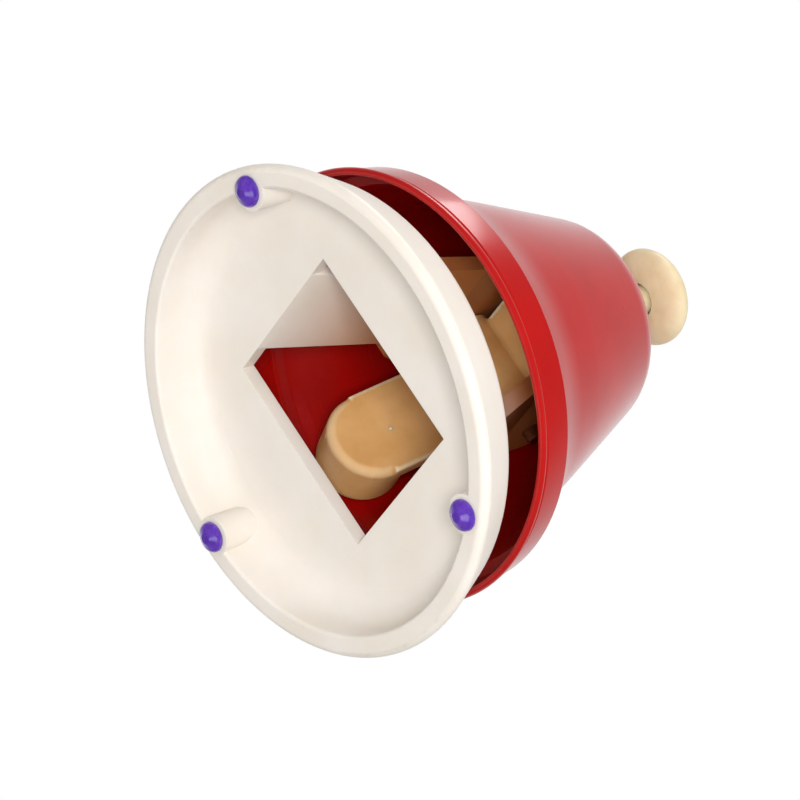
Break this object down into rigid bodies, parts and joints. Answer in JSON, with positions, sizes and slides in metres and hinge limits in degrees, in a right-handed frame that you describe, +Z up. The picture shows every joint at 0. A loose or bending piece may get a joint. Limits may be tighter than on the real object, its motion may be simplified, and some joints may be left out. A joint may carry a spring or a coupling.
{
  "type": "desk bell",
  "caption": "Press-top desk bell: round dish base on feet, enamelled bell on a yoke, and a round button that tips a pivoted hammer.",
  "frame": {"origin": "centre of the plane that the feet stand on, on the bell's axis", "axes": "+Z up the bell's axis to the button, X along the hammer's swing with its head at -X, Y along its pivot pin"},
  "size_m": [0.0824, 0.0824, 0.0858],
  "materials": {
    "base_plastic": "gloss",
    "foot_rubber": "gloss",
    "red_enamel": "gloss",
    "hammer_plastic": "satin",
    "button_plastic": "gloss",
    "plated_steel": "satin",
    "spring_steel": "satin"
  },
  "bodies": {
    "bell": {"base_frame": "base_plastic", "foot_1": "foot_rubber", "foot_2": "foot_rubber", "foot_3": "foot_rubber", "bell_shell": "red_enamel", "neck_bush": "button_plastic", "bush_washer": "plated_steel", "bush_nut": "plated_steel", "seat_washer": "plated_steel", "top_washer": "plated_steel", "lock_washer": "plated_steel", "bell_nut": "plated_steel", "hammer_pin": "plated_steel"},
    "hammer": {"hammer": "hammer_plastic"},
    "plunger": {"plunger_rod": "plated_steel", "retaining_clip": "spring_steel", "button_knob": "button_plastic"}
  },
  "joints": [
    {"name": "button_press", "type": "slide", "parent": "bell", "child": "plunger", "axis": [0, 0, -1], "range_m": [-0.0022, 0]},
    {"name": "hammer_swing", "type": "hinge", "parent": "bell", "child": "hammer", "pos_m": [-0.009, 0, 0.0493], "axis": [0, 1, 0], "range_deg": [-12.6, 0]}
  ],
  "couplings": [
    {"joint": "button_press", "follows": "hammer_swing", "m_per_rad": 0.01}
  ]
}
